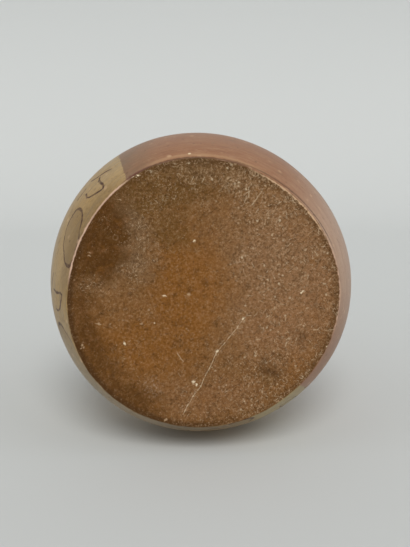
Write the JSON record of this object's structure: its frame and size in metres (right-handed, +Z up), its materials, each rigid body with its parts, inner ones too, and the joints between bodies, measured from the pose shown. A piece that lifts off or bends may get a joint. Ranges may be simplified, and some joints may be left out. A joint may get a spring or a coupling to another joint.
{
  "type": "stirrup spout vessel",
  "caption": "Round-bodied ancient pottery vessel on a flat base, with a hollow stirrup handle and a spout on its crown, painted in cream and red slip.",
  "frame": {"origin": "centre of the flat base that the vessel stands on", "axes": "+Z up through the spout; the stirrup's arch lies in the XZ plane, with its legs at +X and -X; the cream half of the body faces -X and the red half +X"},
  "size_m": [0.1493, 0.1505, 0.2355],
  "materials": {
    "painted_clay": "fired clay with burnished cream and red slip, dark painted lines, and a worn, unslipped base"
  },
  "bodies": {
    "root": {"vessel": "painted_clay"}
  },
  "joints": []
}
